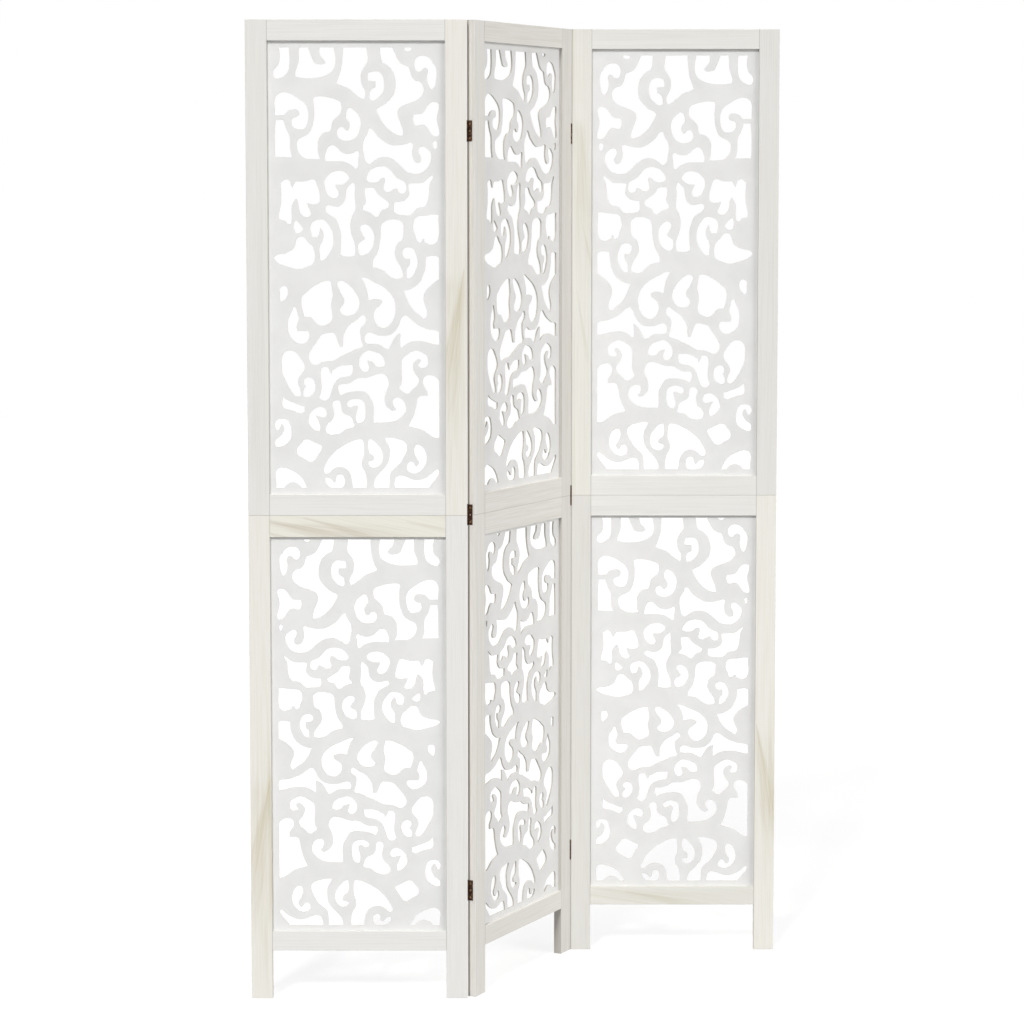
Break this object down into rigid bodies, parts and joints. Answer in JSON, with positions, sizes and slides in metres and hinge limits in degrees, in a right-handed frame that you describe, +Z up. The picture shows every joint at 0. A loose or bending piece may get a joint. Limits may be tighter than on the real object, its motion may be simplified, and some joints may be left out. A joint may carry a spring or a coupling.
{
  "type": "folding room divider",
  "caption": "Free-standing folding screen of hinged wooden leaves, each with stacked frames holding thin scroll-branch fretwork boards, for dividing a room.",
  "frame": {"origin": "on the floor under the middle of the middle leaf, which is the centre of the footprint", "axes": "+Z up; the outer leaves lie along X and their fronts face -Y; +X is to the viewer's right"},
  "size_m": [0.9968, 0.3818, 1.8],
  "materials": {
    "frame_wood": "whitewashed, matt, grain showing through in olive and tan streaks",
    "fret_board": "thin board painted flat off-white",
    "hinge_metal": "antique brown, satin",
    "screw_metal": "dull antique brass",
    "dowel_wood": "bare hardwood"
  },
  "bodies": {
    "left_panel": {"left_upper_left_stile": "frame_wood", "left_upper_right_stile": "frame_wood", "left_upper_top_rail": "frame_wood", "left_upper_bottom_rail": "frame_wood", "left_upper_fret": "fret_board", "left_lower_left_stile": "frame_wood", "left_lower_right_stile": "frame_wood", "left_lower_top_rail": "frame_wood", "left_lower_bottom_rail": "frame_wood", "left_lower_fret": "fret_board", "left_dowels": "dowel_wood", "left_top_hinge_outer_plate": "hinge_metal", "left_middle_hinge_outer_plate": "hinge_metal", "left_bottom_hinge_outer_plate": "hinge_metal", "left_hinge_outer_screws": "screw_metal"},
    "middle_panel": {"middle_upper_left_stile": "frame_wood", "middle_upper_right_stile": "frame_wood", "middle_upper_top_rail": "frame_wood", "middle_upper_bottom_rail": "frame_wood", "middle_upper_fret": "fret_board", "middle_lower_left_stile": "frame_wood", "middle_lower_right_stile": "frame_wood", "middle_lower_top_rail": "frame_wood", "middle_lower_bottom_rail": "frame_wood", "middle_lower_fret": "fret_board", "middle_dowels": "dowel_wood", "left_top_hinge_inner_plate": "hinge_metal", "left_top_hinge_pin": "hinge_metal", "left_middle_hinge_inner_plate": "hinge_metal", "left_middle_hinge_pin": "hinge_metal", "left_bottom_hinge_inner_plate": "hinge_metal", "left_bottom_hinge_pin": "hinge_metal", "left_hinge_inner_screws": "screw_metal", "right_top_hinge_inner_plate": "hinge_metal", "right_top_hinge_pin": "hinge_metal", "right_middle_hinge_inner_plate": "hinge_metal", "right_middle_hinge_pin": "hinge_metal", "right_bottom_hinge_inner_plate": "hinge_metal", "right_bottom_hinge_pin": "hinge_metal", "right_hinge_inner_screws": "screw_metal"},
    "right_panel": {"right_upper_left_stile": "frame_wood", "right_upper_right_stile": "frame_wood", "right_upper_top_rail": "frame_wood", "right_upper_bottom_rail": "frame_wood", "right_upper_fret": "fret_board", "right_lower_left_stile": "frame_wood", "right_lower_right_stile": "frame_wood", "right_lower_top_rail": "frame_wood", "right_lower_bottom_rail": "frame_wood", "right_lower_fret": "fret_board", "right_dowels": "dowel_wood", "right_top_hinge_outer_plate": "hinge_metal", "right_middle_hinge_outer_plate": "hinge_metal", "right_bottom_hinge_outer_plate": "hinge_metal", "right_hinge_outer_screws": "screw_metal"}
  },
  "joints": [
    {"name": "left_fold", "type": "hinge", "parent": "middle_panel", "child": "left_panel", "pos_m": [-0.09826, -0.17457, 0.9], "axis": [0, 0, 1], "range_deg": [-117, 63]},
    {"name": "right_fold", "type": "hinge", "parent": "middle_panel", "child": "right_panel", "pos_m": [0.09826, 0.17457, 0.9], "axis": [0, 0, 1], "range_deg": [-117, 63]}
  ]
}
